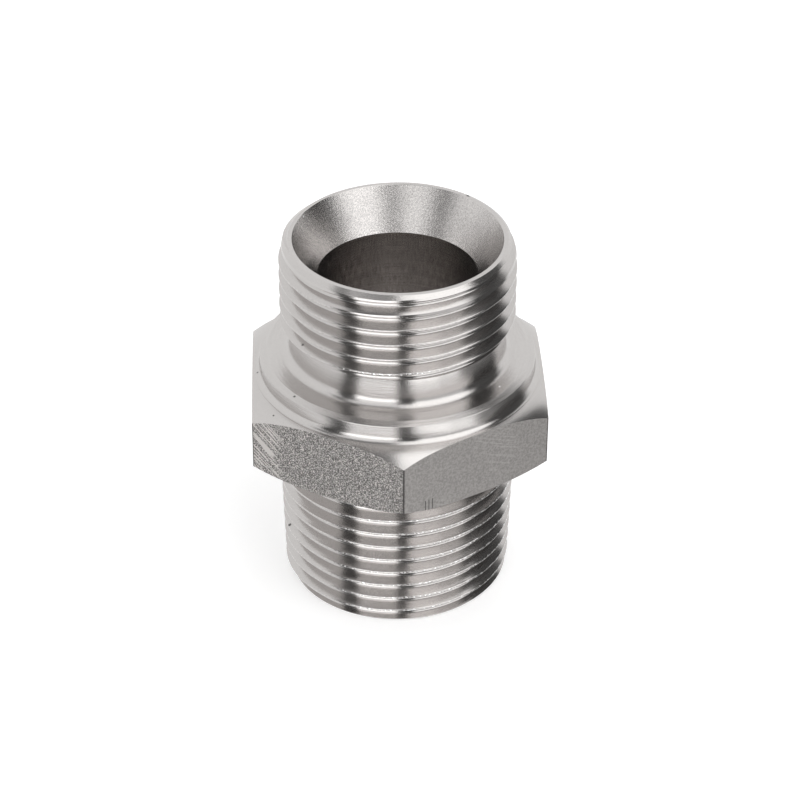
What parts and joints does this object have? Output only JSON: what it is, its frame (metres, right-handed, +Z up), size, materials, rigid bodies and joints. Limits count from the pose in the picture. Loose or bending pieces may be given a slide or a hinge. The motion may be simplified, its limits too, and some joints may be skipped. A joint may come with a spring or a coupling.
{
  "type": "pipe nipple",
  "caption": "Hexagon adapter nipple for pipework: parallel male thread with a cone seat above a collar and wrench hexagon, taper male thread below, bored right through.",
  "frame": {"origin": "on the axis of the bore, in the plane of the lower end face that the fitting stands on", "axes": "+Z up along the bore, from the taper thread to the cone seat; one corner of the hexagon points along -Y, and two of its flats face along X"},
  "size_m": [0.041, 0.0474, 0.0547],
  "materials": {
    "stainless": "bright turned stainless steel, with fine lathe lines and slightly grainy hexagon flats"
  },
  "bodies": {
    "root": {"nipple_body": "stainless"}
  },
  "joints": []
}
